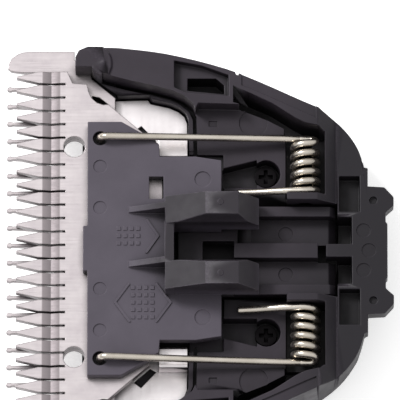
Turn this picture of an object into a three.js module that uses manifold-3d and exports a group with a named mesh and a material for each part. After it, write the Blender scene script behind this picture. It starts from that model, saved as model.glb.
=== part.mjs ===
// A detachable clipper blade cassette: a steel comb and a sliding cutter on a plastic housing,
// pressed together by two torsion springs, with a see-saw lever that lifts the cutter for cleaning.
// Millimetres. X runs from the teeth to the mounting hooks, Y across, Z up from the outer cover.
import * as THREE from "three";
import { mergeVertices } from "three/addons/utils/BufferGeometryUtils.js";
import Module from "manifold-3d";

const wasm = await Module();
wasm.setup();

// Driving heights.
const COVER_TOP = 1.2;
const FLOOR_TOP = 2.6;
const BASE_PLATE = { bottom: 3.9, top: 4.4 };
const COMB = { bottom: 4.4, top: 5.6 };
const CUTTER = { bottom: 5.7, top: 6.6 };
const CARRIER = { bottom: 6.7, top: 8.1 };
const LUG = { bottom: 5.2, top: 7.2 };
const ARM_TOP = 9.0;
const PAD_TOP = 12.7;
const BEAD_HEIGHT = 0.1;
const PIP = { half: 0.22, pitchX: 0.72, pitchY: 0.85 };
const LIP_TOP = 6.0;
const RIM_STEP = { inset: 1.3, depth: 0.2 };

// Comb and cutter teeth.
const COMB_PITCH = 2.02;
const COMB_TEETH = 20;
const COMB_TIP_X = -21.7;
const COMB_ROOT_X = -15.4;
const HOOK_X = 21.7;
const HORN = { inner: 21.2, outer: 23.6 };
const CUTTER_PITCH = 1.56;
const CUTTER_TEETH = 27;
const CUTTER_TIP_X = -20.6;
const CUTTER_VALLEY_X = -18.1;
const CUTTER_SLOT_X = -15.1;

// Springs, pivots and fasteners.
const WIRE_RADIUS = 0.4;
const COIL = { x: 11.8, z: 6.6, radius: 1.35, inner: 6.75, pitch: 1.1, turns: 5 };
const HAIRPIN_END = { x: 12.3, z: 6.8 };
const ARM = { startX: 11.2, startZ: 6.9, y: 12.98, hookX: -11.2, hookY: 12.76, hookZ: 9.15, bend: 0.85 };
const PIVOT = { x: 5, z: 4.4, radius: 0.6 };
const SPRING_POST_RADIUS = 0.75;
const COVER_SCREW = { x: 7.4, y: 9.2, shank: 0.7, head: 1.25 };
const BASE_SCREW = { x: -6.8, y: 10.5, shank: 0.7, head: 1.4 };
const RIVET = { x: -10.7, ys: [6.5, 13.5], shank: 0.8, head: 1.3 };
const CARRIER_PIN = { x: -8.6, y: 11.2, radius: 0.8 };
const CLEARANCE = 0.06;
const FORK_HALF_GAP = 2.2;
const SIDES = [1, -1];

// Plastics and metals.
const blackPlastic = new THREE.MeshStandardMaterial({ color: 0x3a373d, roughness: 0.5, metalness: 0 });
const greyPlastic = new THREE.MeshStandardMaterial({ color: 0x68646c, roughness: 0.55, metalness: 0 });
const bladeSteel = new THREE.MeshStandardMaterial({ color: 0xdcd6d8, roughness: 0.3, metalness: 1 });
const plateSteel = new THREE.MeshStandardMaterial({ color: 0xcac4c6, roughness: 0.4, metalness: 1 });
const springSteel = new THREE.MeshStandardMaterial({ color: 0xb4a894, roughness: 0.3, metalness: 1 });
const screwSteel = new THREE.MeshStandardMaterial({ color: 0xa8a8ac, roughness: 0.35, metalness: 1 });

// Closed solids from three.js geometry, and booleans between them.
function solid(geometry) {
  const bare = geometry.clone();
  bare.deleteAttribute("normal");
  bare.deleteAttribute("uv");
  const merged = mergeVertices(bare, 1e-4);
  const vertProperties = merged.attributes.position.array;
  const triVerts = new Uint32Array(merged.index.array);
  return new wasm.Manifold(new wasm.Mesh({ numProp: 3, vertProperties, triVerts }));
}

function join(...solids) {
  return solids.flat().reduce((all, one) => all.add(one));
}

function cut(body, ...tools) {
  return tools.flat().reduce((rest, tool) => rest.subtract(tool), body);
}

function mesh(name, body, material) {
  const made = body.getMesh();
  const geometry = new THREE.BufferGeometry();
  geometry.setAttribute("position", new THREE.BufferAttribute(made.vertProperties, 3));
  geometry.setIndex(new THREE.BufferAttribute(made.triVerts, 1));
  geometry.computeVertexNormals();
  const node = new THREE.Mesh(geometry, material);
  node.name = name;
  return node;
}

function shapeOf(points) {
  return new THREE.Shape(points.map(([x, y]) => new THREE.Vector2(x, y)));
}

// An outline in plan, from one height to another.
function prism(points, low, high) {
  const geometry = new THREE.ExtrudeGeometry(shapeOf(points), { depth: high - low, bevelEnabled: false });
  return solid(geometry.translate(0, 0, low));
}

// A side profile in X and Z, from one Y to another.
function slab(points, fromY, toY) {
  const low = Math.min(fromY, toY);
  const high = Math.max(fromY, toY);
  const geometry = new THREE.ExtrudeGeometry(shapeOf(points), { depth: high - low, bevelEnabled: false });
  return solid(geometry.rotateX(Math.PI / 2).translate(0, high, 0));
}

function block(x0, x1, y0, y1, z0, z1) {
  const geometry = new THREE.BoxGeometry(x1 - x0, Math.abs(y1 - y0), z1 - z0);
  return solid(geometry.translate((x0 + x1) / 2, (y0 + y1) / 2, (z0 + z1) / 2));
}

function disc(x, y, radius, low, high, sides = 20, topRadius = radius) {
  const geometry = new THREE.CylinderGeometry(topRadius, radius, high - low, sides);
  return solid(geometry.rotateX(Math.PI / 2).translate(x, y, (low + high) / 2));
}

function rod(x, z, radius, y0, y1, sides = 20) {
  const geometry = new THREE.CylinderGeometry(radius, radius, Math.abs(y1 - y0), sides);
  return solid(geometry.translate(x, (y0 + y1) / 2, z));
}

// A closed outline from its +Y half, listed from front to rear.
function symmetric(half) {
  return [...half, ...half.map(([x, y]) => [x, -y]).reverse()];
}

// The same points on the +Y or the -Y side.
function onSide(side, points) {
  return points.map(([x, y]) => [x, side * y]);
}

// A strip of constant width along a line of points.
function ribbon(points, width, low, high) {
  const pieces = [];
  for (let i = 1; i < points.length; i++) {
    const [x0, y0] = points[i - 1];
    const [x1, y1] = points[i];
    const length = Math.hypot(x1 - x0, y1 - y0);
    const nx = (-(y1 - y0) / length) * (width / 2);
    const ny = ((x1 - x0) / length) * (width / 2);
    const strip = [[x0 + nx, y0 + ny], [x0 - nx, y0 - ny], [x1 - nx, y1 - ny], [x1 + nx, y1 + ny]];
    pieces.push(prism(strip, low, high));
    pieces.push(disc(x1, y1, width / 2, low, high, 8));
  }
  return join(pieces);
}

// The curved flank of the housing in plan, on the +Y side.
function flank(inset, fromX, toX) {
  const corners = [
    [-9, 23.05], [-3.4, 22.3], [3.9, 20.3], [11.4, 17],
    [13.9, 15.8], [16, 14.2], [17.6, 12], [18.4, 9.7],
  ];
  const line = new THREE.SplineCurve(corners.map(([x, y]) => new THREE.Vector2(x, y)));
  return line
    .getPoints(30)
    .map((p) => [p.x, p.y - inset])
    .filter(([x]) => x >= fromX && x <= toX);
}

function housingOutline() {
  const front = [[-14, 20.7], [-14, 21.9], [-13.6, 22.7], [-12.7, 23.1]];
  const hooks = [
    [18.4, 9.6], [18.8, 9.5], [18.8, 7.4], [20.7, 7.3], [HOOK_X, 6.2], [HOOK_X, 5.2],
    [20.8, 4.4], [20.8, 3.3], [21, 3.1],
  ];
  return symmetric([...front, ...flank(0, -10, 18.3), ...hooks]);
}

// The bay that the blades lie in, and the line of its lip.
const BAY_EDGE = [
  [-12.5, 20.8], [-9.2, 18.3], [-5.7, 18.4], [-5.4, 17.95], [-3.4, 17.5], [-2.3, 17], [-1.6, 16.4],
  [-1.3, 15.6], [-1.2, 5.4],
];
const LIP_EDGE = [
  [-11, 19.9], [-8, 19.1], [-5.2, 18.5], [-3.2, 17.95], [-1.9, 17.35], [-1, 16.6], [-0.6, 15.7], [-0.5, 10.9],
];

function sideHollows(side) {
  const lip = [[-15, 15], [-15, 19.6], ...LIP_EDGE, [-0.5, 5.4]];
  const gap = [
    [3.7, 16.7], [4.9, 16.4], [7.4, 15.4], [9.5, 14.3], [9.5, 13.4], [14, 13.4], [13.4, 14], [11.7, 14.4],
    [10.7, 14.9], [8.1, 16.6], [5.5, 17.8], [3.7, 18.7],
  ];
  const outerPocket = [[-2.9, 18.5], [-1.7, 17.9], [3.2, 17.5], [3.2, 19.9], [0.2, 21], [-2.9, 21.6]];
  const springFloor = [
    [-0.6, 10], [9.6, 10], [9.6, 14.4], [7.4, 15.5], [4.9, 16.5], [-0.2, 16.6], [-0.6, 15.8],
  ];
  const rimStep = [...flank(-1, 4.6, 13.2), ...flank(RIM_STEP.inset, 4.6, 13.2).reverse()];
  return [
    prism(onSide(side, lip), LIP_TOP, 20),
    ribbon(onSide(side, LIP_EDGE), 0.4, 5, 20),
    prism(onSide(side, outerPocket), 7.8, 20),
    prism(onSide(side, [[-1.4, 18.4], [2.7, 18], [2.7, 19], [1.8, 19.8], [-1.4, 19.8]]), 4.6, 20),
    prism(onSide(side, gap), 3.4, 20),
    prism(onSide(side, springFloor), 6.5, 20),
    prism(onSide(side, rimStep), ARM_TOP - RIM_STEP.depth, 20),
    prism(onSide(side, [[4, 20], [4.3, 19.85], [4.5, 21.2], [3.9, 21.2]]), 5, 20),
    block(1, 1.9, side * 14.6, side * 15.2, 6.35, 20),
    prism(onSide(side, [[-2, 5], [9.7, 5], [9.7, 13.6], [-0.6, 13.6], [-0.6, 11.8], [-2, 11.8]]), 5.9, 20),
    prism(onSide(side, [[2.5, 7.6], [6.4, 7.6], [6.4, 10.8], [2.5, 9.8]]), 3.8, 20),
    disc(COVER_SCREW.x, side * COVER_SCREW.y, 1.6, 3.8, 20),
    prism(onSide(side, [[-3, 5], [2.6, 5], [2.6, 11.4], [-3, 11.4]]), 5.2, 20),
    block(9.6, 14, side * 6.25, side * 13.55, 4.3, 20),
  ];
}

function housing() {
  const profile = [
    [-14.2, 4.6], [-9.5, COVER_TOP], [12.8, COVER_TOP], [17.6, 3.6], [18.7, LUG.bottom], [22, LUG.bottom],
    [22, LUG.top], [15.2, LUG.top], [13.2, ARM_TOP], [-14.2, ARM_TOP],
  ];
  const bay = symmetric(BAY_EDGE);
  const plateSeat = symmetric([[-12.1, 18.4], ...BAY_EDGE.slice(1)]);
  const frontShelf = symmetric([[-15, 20.8], [-12.1, 20.8]]);
  let body = prism(housingOutline(), COVER_TOP, ARM_TOP).intersect(slab(profile, -24, 24));
  body = cut(
    join(body, SIDES.map(armBoss)),
    prism(symmetric([[-15, 22.8], [-13.8, 22.8], [-9.4, 22.8], [-9.4, 18]]), COMB.bottom, COMB.top + 0.05),
    prism(bay, COMB.bottom, 20),
    prism(plateSeat, BASE_PLATE.bottom, COMB.top + 0.05),
    prism(frontShelf, COMB.bottom, 20),
    block(-16, -13.2, -20.8, 20.8, 0, 20),
    block(-3.2, 15.4, -5.4, 5.4, FLOOR_TOP, 20),
    ...SIDES.flatMap(sideHollows),
  );
  const tongue = block(14.1, 17.5, -0.75, 0.75, LUG.bottom, LUG.top);
  const cheeks = SIDES.map((side) => block(10.2, 13.4, side * 5.4, side * 6.25, 4, 8.0));
  body = join(body, tongue, cheeks);
  return cut(
    body,
    SIDES.map((side) => block(15, 17, side * 0.75, side * 3.85, 3.6, 20)),
    SIDES.map((side) => block(15.6, 17.9, side * 4.5, side * 8.6, 5.4, 20)),
    SIDES.flatMap(hookMarks),
    disc(18.9, 0, 0.8, LUG.top - 0.15, 20, 16),
    rod(PIVOT.x, PIVOT.z, PIVOT.radius + CLEARANCE, -6.8, 6.8),
    rod(COIL.x, COIL.z, SPRING_POST_RADIUS + CLEARANCE, -7, 7),
    SIDES.flatMap(screwHoles),
  );
}

// The rounded end of a side arm, raised a little above it.
function armBoss(side) {
  const lobe = disc(-12.2, side * 21.2, 2.5, ARM_TOP - 0.3, ARM_TOP + 0.35, 32, 2.25);
  return lobe.intersect(prism(housingOutline(), COVER_TOP, 20));
}

function hookMarks(side) {
  return [
    disc(18.3, side * 2.3, 0.8, LUG.top - 0.15, 20, 16),
    disc(19.4, side * 5.8, 0.45, LUG.top - 0.4, 20, 12),
    disc(6, side * 15, 1.6, 6.35, 20, 24),
  ];
}

function screwHoles(side) {
  return [
    disc(COVER_SCREW.x, side * COVER_SCREW.y, COVER_SCREW.shank + CLEARANCE, 0, 4, 16),
    disc(COVER_SCREW.x, side * COVER_SCREW.y, 1.8, 0, FLOOR_TOP + 0.1, 20),
    disc(BASE_SCREW.x, side * BASE_SCREW.y, BASE_SCREW.shank + CLEARANCE, 0, 5, 16),
    disc(BASE_SCREW.x, side * BASE_SCREW.y, BASE_SCREW.head + 0.15, 0, 2.3, 20),
    RIVET.ys.map((y) => disc(RIVET.x, side * y, RIVET.head + 0.15, 3.3, 5, 16)),
  ].flat();
}

function outerCover() {
  const outline = symmetric([[-9.1, 22.5], ...flank(0.95, -8.6, 12.4), [12.5, 14.9]]);
  const bevel = 0.6;
  const geometry = new THREE.ExtrudeGeometry(shapeOf(outline), {
    depth: COVER_TOP - bevel,
    bevelEnabled: true,
    bevelThickness: bevel,
    bevelSize: bevel,
    bevelOffset: -bevel,
    bevelSegments: 3,
  });
  const panel = solid(geometry.translate(0, 0, bevel)).intersect(block(-20, 20, -30, 30, 0, COVER_TOP));
  const bosses = SIDES.map((side) => disc(COVER_SCREW.x, side * COVER_SCREW.y, 1.6, 0.9, FLOOR_TOP + 0.05));
  const holes = SIDES.map((side) =>
    disc(COVER_SCREW.x, side * COVER_SCREW.y, COVER_SCREW.shank + CLEARANCE, 0.7, 5, 16),
  );
  const grips = [-1, 0, 1].map((row) => block(1 + row * 3, 2 + row * 3, -7, 7, -1, 0.25));
  return cut(join(panel, bosses), holes, grips);
}

// The comb's front edge: slim tapered teeth with rounded tips between two broad horns.
function combOutline() {
  const tooth = (y) => {
    const root = 0.36;
    const neck = 0.17;
    const tip = 0.27;
    return [
      [COMB_ROOT_X, y + root], [COMB_TIP_X + 0.7, y + neck], [COMB_TIP_X + 0.4, y + tip],
      [COMB_TIP_X + 0.08, y + 0.2], [COMB_TIP_X, y], [COMB_TIP_X + 0.08, y - 0.2],
      [COMB_TIP_X + 0.4, y - tip], [COMB_TIP_X + 0.7, y - neck], [COMB_ROOT_X, y - root],
    ];
  };
  const teeth = [];
  for (let i = 0; i < COMB_TEETH; i++) {
    teeth.push(...tooth((COMB_TEETH - 1 - 2 * i) * (COMB_PITCH / 2)));
  }
  const horn = [
    [COMB_ROOT_X, HORN.inner - 0.3], [-18, HORN.inner - 0.1], [-20, HORN.inner - 0.1],
    [-21.2, HORN.inner + 0.05], [-21.6, HORN.inner + 0.35], [-21.55, HORN.inner + 0.9],
    [-21.2, HORN.outer - 0.8], [-20.5, HORN.outer - 0.3],
    [-19.9, HORN.outer - 0.08], [-19.2, HORN.outer], [-14.1, HORN.outer],
    [-14.1, 22.6], [-12.2, 22.6], [-12.2, 20.4], [-9.5, 18.15],
  ];
  const left = horn.slice().reverse();
  const right = horn.map(([x, y]) => [x, -y]);
  return [...left, ...teeth, ...right];
}

function fixedBlade() {
  const taper = [
    [COMB_TIP_X - 1, 5.05], [-15, COMB.bottom], [0, COMB.bottom], [0, COMB.top], [COMB_TIP_X - 1, COMB.top],
  ];
  const blank = prism(combOutline(), 3, 7).intersect(slab(taper, -25, 25));
  const holes = SIDES.flatMap((side) =>
    RIVET.ys.map((y) => disc(RIVET.x, side * y, RIVET.shank + CLEARANCE, 0, 9, 16)),
  );
  return cut(blank, holes, SIDES.map(edgeGap), SIDES.map(locatingHole));
}

// The opening beside the cutter's edge, through the comb and the plate behind it.
function edgeGap(side) {
  const opening = [[-12.1, 18.35], [-11.3, 18.2], [-10.2, 17.3], [-10.8, 16.8], [-12.1, 16.8]];
  return prism(onSide(side, opening), 0, 9);
}

// Sheet steel under the comb, with a tab bent up on each side beside the carrier.
function basePlate() {
  const outline = symmetric([
    [-12, 18.15], [-9.2, 18.15], [-5.85, 18.25], [-5.55, 17.8], [-3.5, 17.35], [-2.4, 16.85], [-1.75, 16.3],
    [-1.45, 15.5], [-1.4, 11.6], [-5.2, 11.2], [-5.2, 6],
  ]);
  const sheet = prism(outline, BASE_PLATE.bottom, BASE_PLATE.top);
  const tabs = SIDES.map((side) => {
    const fold = [
      [13.5, 4.1], [13.5, 5.6], [13.3, 6.1], [12.9, 6.3], [11.2, 6.3], [10.95, 6.1], [11.2, 5.85],
      [12.7, 5.8], [12.95, 5.5], [13, 4.1],
    ];
    const geometry = new THREE.ExtrudeGeometry(shapeOf(fold), { depth: 3.2, bevelEnabled: false });
    geometry.rotateX(Math.PI / 2).rotateZ(Math.PI / 2).translate(-4.6, 0, 0);
    return solid(side > 0 ? geometry : mirrored(geometry));
  });
  const holes = SIDES.flatMap((side) => [
    ...RIVET.ys.map((y) => disc(RIVET.x, side * y, RIVET.shank + CLEARANCE, 0, 9, 16)),
    disc(BASE_SCREW.x, side * BASE_SCREW.y, BASE_SCREW.shank + CLEARANCE, 0, 9, 16),
    prism(onSide(side, [[-7.4, 14.6], [-5.6, 13], [-4.9, 13.4], [-6.6, 15.2]]), 0, 9),
  ]);
  return cut(join(sheet, tabs), holes, SIDES.map(edgeGap));
}

// The same geometry reflected to the -Y side, with its faces still pointing out.
function mirrored(geometry) {
  const flipped = geometry.clone();
  flipped.applyMatrix4(new THREE.Matrix4().makeScale(1, -1, 1));
  const position = flipped.attributes.position;
  const corner = new THREE.Vector3();
  const other = new THREE.Vector3();
  for (let i = 0; i < position.count; i += 3) {
    corner.fromBufferAttribute(position, i + 1);
    other.fromBufferAttribute(position, i + 2);
    position.setXYZ(i + 1, other.x, other.y, other.z);
    position.setXYZ(i + 2, corner.x, corner.y, corner.z);
  }
  return flipped;
}

function rivet(x, y) {
  return join(
    disc(x, y, RIVET.head, 3.4, BASE_PLATE.bottom, 16),
    disc(x, y, RIVET.shank, BASE_PLATE.bottom - 0.2, COMB.top, 16),
  );
}

// A pan-head screw; its head is on the side that up points to.
function screw(x, y, shank, head, shankLow, shankHigh, headHeight, up) {
  const headLow = up > 0 ? shankHigh - 0.05 : shankLow - headHeight;
  const headHigh = headLow + headHeight + 0.05;
  const slotLow = up > 0 ? headHigh - 0.4 : headLow - 1;
  const slotHigh = up > 0 ? headHigh + 1 : headLow + 0.4;
  const long = head * 0.62;
  const thin = head * 0.16;
  return cut(
    join(disc(x, y, shank, shankLow, shankHigh, 16), disc(x, y, head, headLow, headHigh, 20)),
    block(x - long, x + long, y - thin, y + thin, slotLow, slotHigh),
    block(x - thin, x + thin, y - long, y + long, slotLow, slotHigh),
  );
}

function coverScrew(side) {
  const { x, y, shank, head } = COVER_SCREW;
  return screw(x, side * y, shank, head, 0.8, 3.85, 0.8, 1);
}

function baseScrew(side) {
  const { x, y, shank, head } = BASE_SCREW;
  return screw(x, side * y, shank, head, 2.25, BASE_PLATE.top, 0.8, -1);
}

// The sliding cutter: saw teeth, fine slots behind them, and swept-back wings.
function cutterOutline() {
  const points = [];
  const half = CUTTER_PITCH / 2;
  for (let i = 0; i < CUTTER_TEETH; i++) {
    const y = (CUTTER_TEETH - 1 - 2 * i) * half;
    points.push([CUTTER_VALLEY_X, y + half - 0.1], [CUTTER_TIP_X, y + 0.12], [CUTTER_TIP_X, y - 0.12]);
    points.push([CUTTER_VALLEY_X, y - half + 0.1]);
    if (i < CUTTER_TEETH - 1) {
      points.push([CUTTER_SLOT_X, y - half + 0.1], [CUTTER_SLOT_X, y - half - 0.1]);
    }
  }
  const wing = [
    [-14.9, 20.96], [-14.3, 19.6], [-12.7, 19.5], [-12.5, 18.6], [-12.2, 17.9], [-11.6, 17.35], [-10.9, 17.1],
    [-10.3, 17.15], [-7.8, 15], [-5.6, 13.1], [-5.2, 9.4], [-4.2, 9.1], [-4.2, 6],
  ];
  return [...wing.slice().reverse(), ...points, ...wing.map(([x, y]) => [x, -y])];
}

// A round hole that lines up in the comb and the cutter.
function locatingHole(side) {
  return disc(-14.1, side * 12.2, 1.2, 0, 20, 24);
}

function movingBlade() {
  const blank = prism(cutterOutline(), CUTTER.bottom, CUTTER.top);
  const hollow = [
    [-17.7, CUTTER.top + 1], [-17.7, CUTTER.top], [-16.7, CUTTER.top - 0.25],
    [-15.7, CUTTER.top], [-15.7, CUTTER.top + 1],
  ];
  return cut(
    blank,
    slab(hollow, -25, 25),
    SIDES.map(locatingHole),
    SIDES.map((side) => disc(CARRIER_PIN.x, side * CARRIER_PIN.y, CARRIER_PIN.radius + CLEARANCE, 0, 20, 16)),
  );
}

function carrierOutline() {
  return symmetric([
    [-13.1, 2.6], [-12.6, 2.6], [-12.6, 14.7], [-8.8, 14.7], [-6.4, 13.3], [-4.6, 12.1], [-4.5, 10.65],
    [-0.5, 10.65], [2.4, 10.2], [2.4, 0],
  ]);
}

// A prong of the drive fork: it rises from the front wall to a level pad and falls away to the rear.
function prong(side) {
  const profile = [
    [-3.9, CARRIER.bottom], [2.4, CARRIER.bottom], [2.4, 7.8], [6.6, 7.8], [6.6, 9.6], [4.3, PAD_TOP],
    [0.6, PAD_TOP], [-3.9, 10.5],
  ];
  const body = slab(profile, side * FORK_HALF_GAP, side * 5.35);
  const chamfer = [[FORK_HALF_GAP - 1, 11.2], [FORK_HALF_GAP, 11.2], [3.2, 14], [FORK_HALF_GAP - 1, 14]];
  const geometry = new THREE.ExtrudeGeometry(shapeOf(chamfer), { depth: 14, bevelEnabled: false });
  geometry.rotateX(Math.PI / 2).rotateZ(Math.PI / 2).translate(-5, 0, 0);
  const bevel = solid(side > 0 ? geometry : mirrored(geometry));
  const bead = disc(2.3, side * 4.1, 0.45, PAD_TOP - 0.1, PAD_TOP + BEAD_HEIGHT, 20, 0.3);
  return join(cut(body, bevel), bead);
}

function gusset(y) {
  const low = CARRIER.top - 0.3;
  return slab([[-8, low], [-3.5, low], [-3.5, 10.5], [-3.9, 10.5], [-8, 8.4]], y - 0.35, y + 0.35);
}

// A raised arrowhead outline on the carrier, pointing along X.
function arrow(x, y, halfWidth, length) {
  const line = [[x, y + halfWidth], [x + length, y], [x, y - halfWidth]];
  return ribbon(line, 0.25, CARRIER.top - 0.1, CARRIER.top + 0.15);
}

// Rows of small raised pips on the carrier.
function pips(x, y, columns, rows) {
  const made = [];
  for (let i = 0; i < columns * rows; i++) {
    const pipX = x + (i % columns) * PIP.pitchX;
    const pipY = y + Math.floor(i / columns) * PIP.pitchY;
    const sides = [pipX - PIP.half, pipX + PIP.half, pipY - PIP.half, pipY + PIP.half];
    made.push(block(...sides, CARRIER.top - 0.1, CARRIER.top + 0.12));
  }
  return made;
}

function bladeCarrier() {
  const plate = prism(carrierOutline(), CARRIER.bottom, CARRIER.top);
  const wall = block(-3.9, -2.9, -5.4, 5.4, CARRIER.top - 0.5, 10.5);
  const arrows = [arrow(-6, 1.4, 1.9, 1.3), arrow(-7.9, -6.3, 2.2, -1.6), arrow(-4.9, -6.3, 2.2, 1.6)];
  const marks = [...arrows, ...pips(-9.1, 0.55, 4, 3), ...pips(-7.5, -8.0, 4, 5)];
  const body = join(plate, wall, SIDES.map(prong), gusset(4.4), gusset(-1.9), marks);
  const recess = CARRIER.top - 0.15;
  return cut(
    body,
    block(-2.9, 8, -FORK_HALF_GAP, FORK_HALF_GAP, 0, 20),
    block(-5.7, -4.1, 5.75, 8.3, 0, 20),
    SIDES.flatMap((side) => [
      disc(ARM.hookX, side * ARM.hookY, 0.8, 7.1, 20, 20),
      disc(-11.2, side * 4.7, 0.75, recess, 20, 20),
      disc(-11.2, side * 9.5, 0.75, recess, 20, 20),
      disc(0.3, side * 8, 0.9, recess, 20, 20),
      disc(CARRIER_PIN.x, side * CARRIER_PIN.y, CARRIER_PIN.radius + CLEARANCE, 0, 7.6, 16),
    ]),
  );
}

function carrierPin(side) {
  return disc(CARRIER_PIN.x, side * CARRIER_PIN.y, CARRIER_PIN.radius, CUTTER.bottom + 0.1, 7.5, 16);
}

// The see-saw lever: a channelled press plate behind the pivot and a lifting shelf in front of it.
function cleaningLever() {
  const floor = 5.4;
  const rail = 7.1;
  const sideRail = [[3.8, 4.2], [15.2, 4.2], [15.2, 6.4], [14.5, rail], [3.8, rail]];
  const centreRail = [[3.8, 4.2], [13.2, 4.2], [13.2, rail], [3.8, rail]];
  const shelf = [[-2.5, 5.1], [4.2, 4.2], [4.2, 6.3], [-2.5, 6.3]];
  const body = join(
    slab(shelf, -5.1, 5.1),
    block(3.8, 13.2, -5.1, 5.1, 4.2, floor),
    slab(centreRail, -0.87, 0.87),
    rod(PIVOT.x, PIVOT.z, 1.25, -5.1, 5.1, 24),
    SIDES.flatMap((side) => [
      slab(sideRail, side * 3.94, side * 5.1),
      slab([[12, 4.2], [15.2, 4.2], [15.2, 4.7], [14.4, floor], [12, floor]], side * 1, side * 4.2),
    ]),
  );
  return cut(
    body,
    block(0.3, 3.8, -1.3, 1.3, 0, 20),
    rod(PIVOT.x, PIVOT.z, PIVOT.radius + CLEARANCE, -8, 8),
    SIDES.map((side) => disc(9.6, side * 2.35, 0.8, floor - 0.15, 20, 20)),
  );
}

function leverPin() {
  return rod(PIVOT.x, PIVOT.z, PIVOT.radius, -6.7, 6.7);
}

function springPost(side) {
  return rod(COIL.x, COIL.z, SPRING_POST_RADIUS, side * 5.5, side * 12.4);
}

// Round wire along a smooth line of points.
function wire(points, steps) {
  const path = new THREE.CatmullRomCurve3(points.map(([x, y, z]) => new THREE.Vector3(x, y, z)));
  path.arcLengthDivisions = 4000;
  const section = new THREE.Shape();
  section.absarc(0, 0, WIRE_RADIUS, 0, Math.PI * 2);
  const geometry = new THREE.ExtrudeGeometry(section, { steps, curveSegments: 4, extrudePath: path });
  return solid(geometry);
}

// The coil with its short reaction arm, and the hairpin that turns the wire forward at the outer end.
function springCoil(side) {
  const stepsPerTurn = 14;
  const points = [[4.4, side * 6.8, 6.6], [6.6, side * 6.78, 6.95], [9.4, side * 6.76, 7.65]];
  for (let i = 0; i <= COIL.turns * stepsPerTurn + 1; i++) {
    const angle = (i / stepsPerTurn) * Math.PI * 2;
    const y = side * (COIL.inner + (i / stepsPerTurn) * COIL.pitch);
    points.push([COIL.x + COIL.radius * Math.sin(angle), y, COIL.z + COIL.radius * Math.cos(angle)]);
  }
  const first = new THREE.Vector3(...points[points.length - 1]);
  const last = new THREE.Vector3(HAIRPIN_END.x, side * ARM.y, HAIRPIN_END.z);
  const middle = first.clone().add(last).multiplyScalar(0.5);
  const reach = first.clone().sub(middle);
  for (const share of [0.25, 0.5, 0.75]) {
    const turned = middle.clone().addScaledVector(reach, Math.cos(Math.PI * share));
    turned.x += reach.length() * Math.sin(Math.PI * share);
    points.push(turned.toArray());
  }
  points.push(last.toArray(), [ARM.startX + 0.3, side * ARM.y, ARM.startZ - 0.05]);
  return wire(points, 108);
}

function springArm(side) {
  const slope = (ARM.hookZ - ARM.startZ) / (ARM.hookX - ARM.startX);
  const drift = (ARM.hookY - ARM.y) / (ARM.hookX - ARM.startX);
  const onArm = (x) => [x, side * (ARM.y + drift * (x - ARM.startX)), ARM.startZ + slope * (x - ARM.startX)];
  const bendX = ARM.hookX + ARM.bend;
  const straight = [ARM.startX, 6, 0, -6, bendX].map(onArm);
  const bendZ = straight[straight.length - 1][2] - ARM.bend;
  const hook = [0.33, 0.67, 1].map((share) => {
    const angle = (share * Math.PI) / 2;
    return [bendX - ARM.bend * Math.sin(angle), side * ARM.hookY, bendZ + ARM.bend * Math.cos(angle)];
  });
  return wire([...straight, ...hook, [ARM.hookX, side * ARM.hookY, 7.4]], 40);
}

const sideName = (side) => (side > 0 ? "left" : "right");

const cassette = new THREE.Group();
cassette.add(
  mesh("housing", housing(), blackPlastic),
  mesh("outer_cover", outerCover(), blackPlastic),
  mesh("fixed_blade", fixedBlade(), bladeSteel),
  mesh("base_plate", basePlate(), plateSteel),
  mesh("moving_blade", movingBlade(), bladeSteel),
  mesh("blade_carrier", bladeCarrier(), greyPlastic),
  mesh("cleaning_lever", cleaningLever(), blackPlastic),
  mesh("lever_pin", leverPin(), screwSteel),
);
for (const side of SIDES) {
  const name = sideName(side);
  cassette.add(
    mesh(`cover_screw_${name}`, coverScrew(side), screwSteel),
    mesh(`base_screw_${name}`, baseScrew(side), screwSteel),
    mesh(`carrier_pin_${name}`, carrierPin(side), screwSteel),
    mesh(`spring_post_${name}`, springPost(side), screwSteel),
    mesh(`spring_coil_${name}`, springCoil(side), springSteel),
    mesh(`spring_arm_${name}`, springArm(side), springSteel),
  );
  RIVET.ys.forEach((y, i) => {
    cassette.add(mesh(`blade_rivet_${name}_${i + 1}`, rivet(RIVET.x, side * y), screwSteel));
  });
}

export default cassette;
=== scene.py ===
import math

import bmesh
import bpy
from mathutils import Matrix, Vector


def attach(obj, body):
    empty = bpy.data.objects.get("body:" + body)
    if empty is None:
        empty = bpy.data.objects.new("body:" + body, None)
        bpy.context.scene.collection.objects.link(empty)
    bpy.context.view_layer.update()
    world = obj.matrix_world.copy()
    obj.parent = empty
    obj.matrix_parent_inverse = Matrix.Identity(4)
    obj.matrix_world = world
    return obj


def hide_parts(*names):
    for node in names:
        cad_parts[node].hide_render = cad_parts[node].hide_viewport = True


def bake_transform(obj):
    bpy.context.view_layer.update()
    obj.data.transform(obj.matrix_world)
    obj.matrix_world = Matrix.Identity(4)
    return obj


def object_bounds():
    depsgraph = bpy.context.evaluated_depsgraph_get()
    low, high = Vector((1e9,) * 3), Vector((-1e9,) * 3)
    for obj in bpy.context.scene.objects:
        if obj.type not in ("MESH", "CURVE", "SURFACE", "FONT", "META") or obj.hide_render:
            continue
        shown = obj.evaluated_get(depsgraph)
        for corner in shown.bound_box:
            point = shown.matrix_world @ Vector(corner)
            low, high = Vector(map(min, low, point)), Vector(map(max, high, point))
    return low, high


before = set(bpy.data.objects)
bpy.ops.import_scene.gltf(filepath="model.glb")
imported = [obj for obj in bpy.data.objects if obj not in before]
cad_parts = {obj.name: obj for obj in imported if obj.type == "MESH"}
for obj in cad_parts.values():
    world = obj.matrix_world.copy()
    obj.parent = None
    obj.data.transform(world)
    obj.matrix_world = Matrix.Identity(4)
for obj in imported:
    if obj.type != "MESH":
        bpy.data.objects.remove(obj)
CAD_LOW, CAD_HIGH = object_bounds()

MM = 0.001
SIDES = {"left": 1, "right": -1}


# ---------------------------------------------------------------- node helpers

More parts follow.
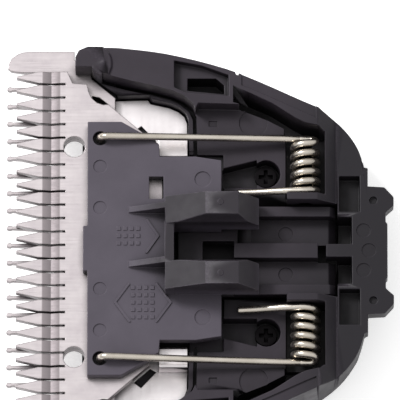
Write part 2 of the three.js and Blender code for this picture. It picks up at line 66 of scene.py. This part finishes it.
def new_material(name):
    material = bpy.data.materials.new(name)
    material.use_nodes = True
    shader = material.node_tree.nodes["Principled BSDF"]
    return material, material.node_tree, shader


def add(tree, kind, **values):
    """A new node, with its sockets set by name and its own properties by attribute."""
    node = tree.nodes.new(kind)
    for key, value in values.items():
        if hasattr(node, key):
            setattr(node, key, value)
        else:
            node.inputs[key.replace("_", " ")].default_value = value
    return node


def coordinates(tree, stretch=(1, 1, 1)):
    """The piece's own coordinates in millimetres."""
    place = add(tree, "ShaderNodeTexCoord")
    scale = add(tree, "ShaderNodeMapping")
    scale.inputs["Scale"].default_value = [s / MM for s in stretch]
    tree.links.new(place.outputs["Object"], scale.inputs["Vector"])
    return scale.outputs["Vector"]


def noise(tree, vector, scale, detail=3.0, roughness=0.5):
    node = add(tree, "ShaderNodeTexNoise", Scale=scale, Detail=detail, Roughness=roughness)
    tree.links.new(vector, node.inputs["Vector"])
    return node.outputs["Fac"]


def remap(tree, value, low, high, to_low, to_high):
    node = add(tree, "ShaderNodeMapRange")
    node.inputs["From Min"].default_value = low
    node.inputs["From Max"].default_value = high
    node.inputs["To Min"].default_value = to_low
    node.inputs["To Max"].default_value = to_high
    tree.links.new(value, node.inputs["Value"])
    return node.outputs["Result"]


def mix_colours(tree, factor, first, second):
    node = add(tree, "ShaderNodeMix", data_type="RGBA")
    tree.links.new(factor, node.inputs["Factor"])
    for socket, colour in (("A", first), ("B", second)):
        target = [i for i in node.inputs if i.name == socket and i.type == "RGBA"][0]
        if isinstance(colour, tuple):
            target.default_value = (*colour, 1)
        else:
            tree.links.new(colour, target)
    return [o for o in node.outputs if o.type == "RGBA"][0]


def bump(tree, shader, height, strength, distance):
    node = add(tree, "ShaderNodeBump", Strength=strength, Distance=distance)
    tree.links.new(height, node.inputs["Height"])
    tree.links.new(node.outputs["Normal"], shader.inputs["Normal"])


def edge_wear_and_shade(tree, radius):
    """1 on convex and concave edges, 0 on flat faces: worn edges on plastic, painted edge shade on steel."""
    rounded = add(tree, "ShaderNodeBevel", samples=4, Radius=radius)
    flat = add(tree, "ShaderNodeNewGeometry")
    dot = add(tree, "ShaderNodeVectorMath", operation="DOT_PRODUCT")
    tree.links.new(rounded.outputs["Normal"], dot.inputs[0])
    tree.links.new(flat.outputs["True Normal"], dot.inputs[1])
    return remap(tree, dot.outputs["Value"], 0.995, 0.86, 0.0, 1.0)


def painted_pocket_shade(tree, reach):
    """Mask for painted shade: 1 deep in pockets and narrow gaps, 0 on open faces."""
    shelter = add(tree, "ShaderNodeAmbientOcclusion", samples=8, Distance=reach)
    return remap(tree, shelter.outputs["AO"], 0.25, 0.72, 1.0, 0.0)


def part_of(tree, vector, axis):
    """One coordinate of a vector: X, Y or Z."""
    split = add(tree, "ShaderNodeSeparateXYZ")
    tree.links.new(vector, split.inputs["Vector"])
    return split.outputs[axis]


def between(tree, value, low, high, blur):
    """1 between two values, 0 outside them."""
    after = remap(tree, value, low - blur, low + blur, 0.0, 1.0)
    before = remap(tree, value, high - blur, high + blur, 1.0, 0.0)
    both = add(tree, "ShaderNodeMath", operation="MULTIPLY")
    tree.links.new(after, both.inputs[0])
    tree.links.new(before, both.inputs[1])
    return both.outputs["Value"]


# ---------------------------------------------------------------- materials

def moulded_plastic(name, dark, light, worn, roughness, shade_fade):
    """Satin moulded plastic with paler worn edges. Painted shade darkens it in pockets and fades it darker
    along one axis.
    """
    material, tree, shader = new_material(name)
    place = coordinates(tree)
    flow = noise(tree, place, 0.22, 4.0, 0.6)
    colour = mix_colours(tree, remap(tree, flow, 0.3, 0.7, 0, 1), dark, light)
    # Painted shade: the colour darkens along one axis, towards the rear on the black and towards the tops on
    # the grey.
    axis, start, stop, shade_colour = shade_fade
    share = remap(tree, part_of(tree, place, axis), start, stop, 0.0, 1.0)
    colour = mix_colours(tree, share, colour, shade_colour)
    speck = noise(tree, place, 5.0, 2.0, 0.7)
    wear = add(tree, "ShaderNodeMath", operation="MULTIPLY")
    tree.links.new(edge_wear_and_shade(tree, 0.14 * MM), wear.inputs[0])
    tree.links.new(remap(tree, speck, 0.35, 0.65, 0.25, 0.8), wear.inputs[1])
    rubbed = mix_colours(tree, wear.outputs["Value"], colour, worn)
    # Painted shade: pockets and narrow gaps are darkened towards a fifth of the dark colour.
    final = mix_colours(tree, painted_pocket_shade(tree, 4 * MM), rubbed, tuple(channel * 0.2 for channel in dark))
    tree.links.new(final, shader.inputs["Base Color"])
    patches = noise(tree, place, 0.8, 3.0, 0.6)
    rough = remap(tree, patches, 0.3, 0.7, roughness - 0.06, roughness + 0.08)
    tree.links.new(rough, shader.inputs["Roughness"])
    shader.inputs["Specular IOR Level"].default_value = 0.3
    grain = noise(tree, place, 9.0, 3.0, 0.65)
    bump(tree, shader, grain, 0.35, 0.012 * MM)
    return material


def ground_steel(name, colour, tint, roughness, lines, line_axis, cut=None, band=None):
    """Ground steel with fine parallel lines, painted shade on its cut sides, edges and pockets, and a rougher
    band with painted shade if asked.
    """
    material, tree, shader = new_material(name)
    stretch = [lines, lines, lines]
    stretch[line_axis] = lines * 0.03
    across = coordinates(tree, stretch)
    scratch = noise(tree, across, 1.0, 4.0, 0.75)
    place = coordinates(tree)
    stain = noise(tree, place, 0.5, 4.0, 0.6)
    base = mix_colours(tree, remap(tree, stain, 0.35, 0.7, 0, 1), colour, tint)
    rough = remap(tree, scratch, 0.3, 0.7, roughness - 0.05, roughness + 0.1)
    if band:
        # Painted shade: the hollow-ground band gets a darker colour; its added roughness is real.
        inside = between(tree, part_of(tree, place, "X"), *band, 0.08)
        base = mix_colours(tree, inside, base, HOLLOW_BAND_SHADE)
        duller = add(tree, "ShaderNodeMath", operation="MULTIPLY_ADD")
        duller.inputs[1].default_value = 0.25
        tree.links.new(inside, duller.inputs[0])
        tree.links.new(rough, duller.inputs[2])
        rough = duller.outputs["Value"]
    if cut:
        # Painted shade: the edges are darkened.
        base = mix_colours(tree, edge_wear_and_shade(tree, 0.19 * MM), base, EDGE_SHADE)
        # Painted shade: side walls, whose normals lie flat, get the darker cut colour.
        level = add(tree, "ShaderNodeMath", operation="ABSOLUTE")
        facing = add(tree, "ShaderNodeTexCoord").outputs["Normal"]
        tree.links.new(part_of(tree, facing, "Z"), level.inputs[0])
        base = mix_colours(tree, remap(tree, level.outputs["Value"], 0.35, 0.85, 0.0, 1.0), cut, base)
    # Painted shade: pockets and narrow gaps are darkened towards a quarter of the tint.
    base = mix_colours(tree, painted_pocket_shade(tree, 1.6 * MM), base, tuple(channel * 0.25 for channel in tint))
    tree.links.new(base, shader.inputs["Base Color"])
    shader.inputs["Metallic"].default_value = 1.0
    tree.links.new(rough, shader.inputs["Roughness"])
    bump(tree, shader, scratch, 0.25, 0.006 * MM)
    return material


def drawn_wire(name):
    """Spring wire, with draw marks along it and a warm heat tint."""
    material, tree, shader = new_material(name)
    place = coordinates(tree)
    marks = noise(tree, coordinates(tree, (0.6, 6, 6)), 1.5, 4.0, 0.7)
    tint = noise(tree, place, 0.35, 3.0, 0.5)
    base = mix_colours(tree, remap(tree, tint, 0.3, 0.7, 0, 1), (0.66, 0.6, 0.52), (0.8, 0.74, 0.66))
    tree.links.new(base, shader.inputs["Base Color"])
    shader.inputs["Metallic"].default_value = 1.0
    tree.links.new(remap(tree, marks, 0.3, 0.7, 0.2, 0.36), shader.inputs["Roughness"])
    bump(tree, shader, marks, 0.2, 0.005 * MM)
    return material


# Painted shade colours: blade side walls, blade edges, and the hollow-ground band.
SIDE_SHADE = (0.2, 0.18, 0.185)
EDGE_SHADE = (0.14, 0.12, 0.12)
HOLLOW_BAND_SHADE = (0.32, 0.285, 0.295)
# The fade colours are painted shade: the black darkens towards the rear, the grey towards its tops.
BLACK = moulded_plastic(
    "charcoal_plastic", (0.026, 0.02, 0.028), (0.034, 0.027, 0.037), (0.058, 0.05, 0.062), 0.5,
    shade_fade=("X", 9, 16, (0.011, 0.009, 0.013)),
)
GREY = moulded_plastic(
    "grey_plastic", (0.074, 0.064, 0.083), (0.09, 0.078, 0.1), (0.15, 0.13, 0.16), 0.5,
    shade_fade=("Z", 8.5, 10.2, (0.024, 0.02, 0.026)),
)
BLADE = ground_steel("blade_steel", (0.72, 0.66, 0.67), (0.62, 0.56, 0.58), 0.3, 5.0, 0, cut=SIDE_SHADE)
CUTTER = ground_steel(
    "cutter_steel", (0.74, 0.68, 0.69), (0.64, 0.58, 0.6), 0.3, 5.0, 0, cut=SIDE_SHADE, band=(-17.7, -15.7),
)
PLATE = ground_steel("plate_steel", (0.97, 0.92, 0.93), (0.88, 0.83, 0.84), 0.36, 3.0, 1)
# The near-black fastener colour is dark steel, made darker still as painted shade for the keyhole pockets.
FASTENER = ground_steel("dark_steel_and_pocket_shade", (0.012, 0.011, 0.012), (0.009, 0.008, 0.009), 0.45, 4.0, 0)
WIRE = drawn_wire("spring_wire")


# ---------------------------------------------------------------- mesh helpers

SEAM_ANGLE = 80


def finish_piece(name, mesh, material, body, nodes):
    """Turns a mesh in millimetres into a piece in metres that rides on a body in place of its nodes."""
    mesh.transform(Matrix.Scale(MM, 4))
    piece = bpy.data.objects.new(name, mesh)
    bpy.context.scene.collection.objects.link(piece)
    piece.data.materials.clear()
    piece.data.materials.append(material)
    if not piece.data.has_custom_normals:
        for face in piece.data.polygons:
            face.use_smooth = True
        piece.data.set_sharp_from_angle(angle=math.radians(SEAM_ANGLE))
    if body:
        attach(piece, body)
    if nodes:
        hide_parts(*nodes)
    return piece


# Rounding: lengths in millimetres, areas in square millimetres, angles in degrees.
WELD = 0.0005
FLAT_ANGLE = 0.6
CORNER_ANGLE = 28
ROUNDING_STEPS = 2
ROOM_SHARE = 0.38
ATTEMPTS = 12
STEEP = 140
FOLDED_BACK = 175
OWN_REACH = 1.0
SPECK = 0.0002


def edge_room(edge):
    """The shortest neighbour of an edge, which limits how wide its rounding can be."""
    neighbours = [e.calc_length() for v in edge.verts for e in v.link_edges]
    return min(neighbours)


def merged(node):
    """A copy of a CAD node's mesh in millimetres, with its flat faces merged."""
    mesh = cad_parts[node].data.copy()
    mesh.transform(Matrix.Scale(1 / MM, 4))
    shape = bmesh.new()
    shape.from_mesh(mesh)
    bmesh.ops.remove_doubles(shape, verts=shape.verts, dist=WELD)
    bmesh.ops.dissolve_limit(
        shape, angle_limit=math.radians(FLAT_ANGLE), verts=shape.verts, edges=shape.edges,
    )
    for face in shape.faces:
        face.smooth = True
    shape.to_mesh(mesh)
    shape.free()
    return mesh


def corner_weights(mesh, width):
    """How much of the full rounding each edge gets: none on flat ones, less on short ones."""
    shape = bmesh.new()
    shape.from_mesh(mesh)
    weights = []
    for edge in shape.edges:
        sharp = len(edge.link_faces) == 2 and edge.calc_face_angle() > math.radians(CORNER_ANGLE)
        weights.append(min(1.0, ROOM_SHARE * edge_room(edge) / width) if sharp else 0.0)
    shape.free()
    return weights


def rounded(mesh, weights, width):
    """The mesh with each edge rounded by its weight, its flat faces shaded flat."""
    layer = mesh.attributes.get("bevel_weight_edge")
    layer = layer or mesh.attributes.new("bevel_weight_edge", "FLOAT", "EDGE")
    layer.data.foreach_set("value", weights)
    holder = bpy.data.objects.new("work", mesh)
    bpy.context.scene.collection.objects.link(holder)
    bevel = holder.modifiers.new("rounded edges", "BEVEL")
    bevel.width = width
    bevel.segments = ROUNDING_STEPS
    bevel.limit_method = "WEIGHT"
    bevel.use_clamp_overlap = False
    bevel.loop_slide = False
    facing = holder.modifiers.new("level faces", "WEIGHTED_NORMAL")
    facing.keep_sharp = True
    facing.weight = 100
    graph = bpy.context.evaluated_depsgraph_get()
    made = bpy.data.meshes.new_from_object(holder.evaluated_get(graph))
    bpy.data.objects.remove(holder)
    return made


def folds(mesh, own=()):
    """The points on steep folds in a surface, leaving out specks and the part's own knife edges."""
    shape = bmesh.new()
    shape.from_mesh(mesh)
    bmesh.ops.triangulate(shape, faces=shape.faces)
    points = []
    for edge in shape.edges:
        if len(edge.link_faces) != 2:
            continue
        turn = math.degrees(edge.calc_face_angle(0))
        if turn < STEEP or min(face.calc_area() for face in edge.link_faces) < SPECK:
            continue
        ends = [v.co.copy() for v in edge.verts]
        if turn > FOLDED_BACK or not any((end - p).length < OWN_REACH for end in ends for p in own):
            points += ends
    shape.free()
    return points


def softened(node, width):
    """A CAD node's mesh with rounded edges, left sharp only where rounding would fold the surface."""
    mesh = merged(node)
    own = folds(mesh)
    weights = corner_weights(mesh, width)
    for attempt in range(ATTEMPTS):
        made = rounded(mesh, weights, width)
        bad = folds(made, own)
        if not bad:
            break
        reach = (0.6 + 0.3 * attempt) * width
        for edge in mesh.edges:
            ends = [mesh.vertices[v].co for v in edge.vertices]
            if weights[edge.index] and any((end - point).length < reach for end in ends for point in bad):
                weights[edge.index] = 0.0
    return made


def sweep(points, radius, sides=14):
    """A round wire along a list of points, in millimetres, with domed ends."""
    shape = bmesh.new()
    path = [Vector(p) for p in points]
    tangents = []
    for i, _ in enumerate(path):
        ahead = path[min(i + 1, len(path) - 1)]
        behind = path[max(i - 1, 0)]
        tangents.append((ahead - behind).normalized())
    normal = tangents[0].orthogonal().normalized()
    rings = []

    def ring(centre, tangent, size):
        across = tangent.cross(normal)
        made = []
        for k in range(sides):
            turn = 2 * math.pi * k / sides
            made.append(shape.verts.new(centre + size * (math.cos(turn) * normal + math.sin(turn) * across)))
        return made

    dome = (0.25, 0.6, 0.87)
    for lift in dome:
        back = math.sqrt(1 - lift * lift)
        rings.append(ring(path[0] - tangents[0] * radius * back * 0.6, tangents[0], radius * lift))
    for centre, tangent in zip(path, tangents):
        normal = (normal - tangent * normal.dot(tangent)).normalized()
        rings.append(ring(centre, tangent, radius))
    for lift in reversed(dome):
        back = math.sqrt(1 - lift * lift)
        rings.append(ring(path[-1] + tangents[-1] * radius * back * 0.6, tangents[-1], radius * lift))
    for low, high in zip(rings, rings[1:]):
        for k in range(sides):
            shape.faces.new((low[k], low[(k + 1) % sides], high[(k + 1) % sides], high[k]))
    shape.faces.new(list(reversed(rings[0])))
    shape.faces.new(rings[-1])
    bmesh.ops.recalc_face_normals(shape, faces=shape.faces)
    mesh = bpy.data.meshes.new("wire")
    shape.to_mesh(mesh)
    shape.free()
    return mesh


def curve_through(points, per_span=8):
    """A smooth line through the points, with its ends kept."""
    path = [Vector(p) for p in points]
    ends = [path[0] * 2 - path[1], *path, path[-1] * 2 - path[-2]]
    made = []
    for i in range(1, len(ends) - 2):
        a, b, c, d = ends[i - 1:i + 3]
        for k in range(per_span):
            t = k / per_span
            made.append(0.5 * ((2 * b) + (c - a) * t + (2 * a - 5 * b + 4 * c - d) * t ** 2
                               + (3 * b - a - 3 * c + d) * t ** 3))
    made.append(path[-1])
    return made


# ---------------------------------------------------------------- pieces

def plastics():
    for node, material, slot, body, width in (
        ("housing", BLACK, "black_plastic", "frame", 0.13),
        ("outer_cover", BLACK, "black_plastic", "frame", 0.15),
        ("cleaning_lever", BLACK, "black_plastic", "lever", 0.1),
        ("blade_carrier", GREY, "grey_plastic", "cutter", 0.1),
    ):
        finish_piece(node + "_moulding", softened(node, width), material, body, [node])


def metals():
    for node, material, slot, body, width in (
        ("fixed_blade", BLADE, "blade_steel", "frame", 0.06),
        ("moving_blade", CUTTER, "blade_steel", "cutter", 0.04),
        ("base_plate", PLATE, "plate_steel", "frame", 0.06),
    ):
        finish_piece(node + "_ground", softened(node, width), material, body, [node])


def fasteners():
    kinds = ("cover_screw", "base_screw", "blade_rivet", "carrier_pin", "spring_post", "lever_pin")
    for node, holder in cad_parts.items():
        if holder.hide_render or not node.startswith(kinds):
            continue
        body = "cutter" if node.startswith("carrier_pin") else "frame"
        finish_piece(node + "_turned", softened(node, 0.06), FASTENER, body, [node])


WIRE_RADIUS = 0.4
COIL = {"x": 11.8, "z": 6.6, "radius": 1.35, "inner": 6.75, "pitch": 1.1, "turns": 5.075}
HAIRPIN_END = (12.3, 12.98, 6.8)
ARM = {"start": (11.2, 12.98, 6.9), "hook": (-11.2, 12.76, 9.15), "bend": 0.85}


def coil_point(turn):
    angle = 2 * math.pi * turn
    return Vector((
        COIL["x"] + COIL["radius"] * math.sin(angle),
        COIL["inner"] + COIL["pitch"] * turn,
        COIL["z"] + COIL["radius"] * math.cos(angle),
    ))


def relaxed(points):
    """The same line with its kinks eased, its ends kept."""
    inner = [(before + 2 * here + after) / 4 for before, here, after in zip(points, points[1:], points[2:])]
    return [points[0], *inner, points[-1]]


def coil_path(side):
    """The short reaction arm, the coil, and the hairpin that turns the wire forward again."""
    steps = 40
    lead = [(4.4, 6.8, 6.6), (6.6, 6.78, 6.95), (9.4, 6.76, 7.65), coil_point(0)]
    points = curve_through(lead, 10)
    points += [coil_point(i / steps) for i in range(1, int(COIL["turns"] * steps) + 1)]
    first = points[-1]
    last = Vector(HAIRPIN_END)
    middle = (first + last) / 2
    radius = (first - middle).length
    bends = 14
    for i in range(1, bends):
        angle = math.pi * i / bends
        points.append(middle + (first - middle) * math.cos(angle) + Vector((radius * math.sin(angle), 0, 0)))
    points += [last, (last + Vector(ARM["start"])) / 2, Vector(ARM["start"])]
    for _ in range(3):
        points = relaxed(points)
    return [Vector((p[0], side * p[1], p[2])) for p in points]


def arm_path(side):
    """The long arm, straight to the carrier, and the hook bent down into it."""
    (x0, y0, z0), (x1, y1, z1) = ARM["start"], ARM["hook"]
    bend = ARM["bend"]

    def along(x):
        share = (x - x0) / (x1 - x0)
        return Vector((x, y0 + (y1 - y0) * share, z0 + (z1 - z0) * share))

    points = [along(x) for x in (x0, 10, 8, 5, 2, -1, -4, -7)]
    top = along(x1 + bend)
    for i in range(10):
        angle = math.pi / 2 * i / 9
        points.append(Vector((x1 + bend - bend * math.sin(angle), y1, top.z - bend + bend * math.cos(angle))))
    points.append(Vector((x1, y1, 7.5)))
    return [Vector((p[0], side * p[1], p[2])) for p in points]


def springs():
    for name, side in SIDES.items():
        coil = finish_piece(f"spring_coil_{name}_wire", sweep(coil_path(side), WIRE_RADIUS), WIRE, None,
                            [f"spring_coil_{name}"])
        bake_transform(coil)
        arm = finish_piece(f"spring_arm_{name}_wire", sweep(arm_path(side), WIRE_RADIUS), WIRE, None,
                           [f"spring_arm_{name}"])
        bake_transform(arm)


# ---------------------------------------------------------------- stage

def floor():
    size = 0.6
    mesh = bpy.data.meshes.new("floor")
    corners = [(-size, -size, 0), (size, -size, 0), (size, size, 0), (-size, size, 0)]
    mesh.from_pydata(corners, [], [(0, 1, 2, 3)])
    slab = bpy.data.objects.new("floor", mesh)
    bpy.context.scene.collection.objects.link(slab)
    material, tree, shader = new_material("pale_floor")
    shader.inputs["Base Color"].default_value = (0.93, 0.93, 0.93, 1)
    shader.inputs["Emission Color"].default_value = (1, 1, 1, 1)
    shader.inputs["Emission Strength"].default_value = 0.5
    shader.inputs["Roughness"].default_value = 0.9
    slab.data.materials.append(material)
    slab.location.z = CAD_LOW.z - 0.00002


def softbox(name, place, target, size, power):
    light = bpy.data.lights.new(name, "AREA")
    light.shape = "RECTANGLE"
    light.size, light.size_y = size
    light.energy = power
    holder = bpy.data.objects.new(name, light)
    holder.location = place
    holder.rotation_euler = (Vector(target) - Vector(place)).to_track_quat("-Z", "Y").to_euler()
    bpy.context.scene.collection.objects.link(holder)


def sky(strength_low, strength_high):
    """A soft dome, brightest overhead and darker towards the horizon."""
    world = bpy.data.worlds.new("studio")
    world.use_nodes = True
    tree = world.node_tree
    place = add(tree, "ShaderNodeTexCoord")
    split = add(tree, "ShaderNodeSeparateXYZ")
    tree.links.new(place.outputs["Generated"], split.inputs["Vector"])
    level = remap(tree, split.outputs["Z"], 0.35, 1.0, strength_low, strength_high)
    tree.nodes["Background"].inputs["Color"].default_value = (1, 1, 1, 1)
    tree.links.new(level, tree.nodes["Background"].inputs["Strength"])
    bpy.context.scene.world = world


def studio():
    sky(0.5, 0.85)
    softbox("key", (-0.26, 0.2, 0.36), (0, 0, 0), (0.14, 0.14), 1.6)


def camera():
    """Looks along +Y from high above the horizon; the lower edge of the frame crops the object."""
    elevation = math.radians(74.5)
    distance = 1.5
    span = 44.8 * MM
    target = Vector((0, 5.6 * MM, 8 * MM))
    lens = bpy.data.cameras.new("camera")
    lens.sensor_width = 36
    lens.lens = 36 * distance / span
    lens.clip_start = 0.01
    lens.clip_end = 10
    holder = bpy.data.objects.new("camera", lens)
    back = Vector((0, -math.cos(elevation), math.sin(elevation)))
    holder.location = target + back * distance
    holder.rotation_mode = "QUATERNION"
    holder.rotation_quaternion = (-back).to_track_quat("-Z", "Y")
    bpy.context.scene.collection.objects.link(holder)
    bpy.context.scene.camera = holder


camera()
studio()
floor()
plastics()
metals()
fasteners()
springs()
bpy.context.scene.view_settings.view_transform = "Standard"
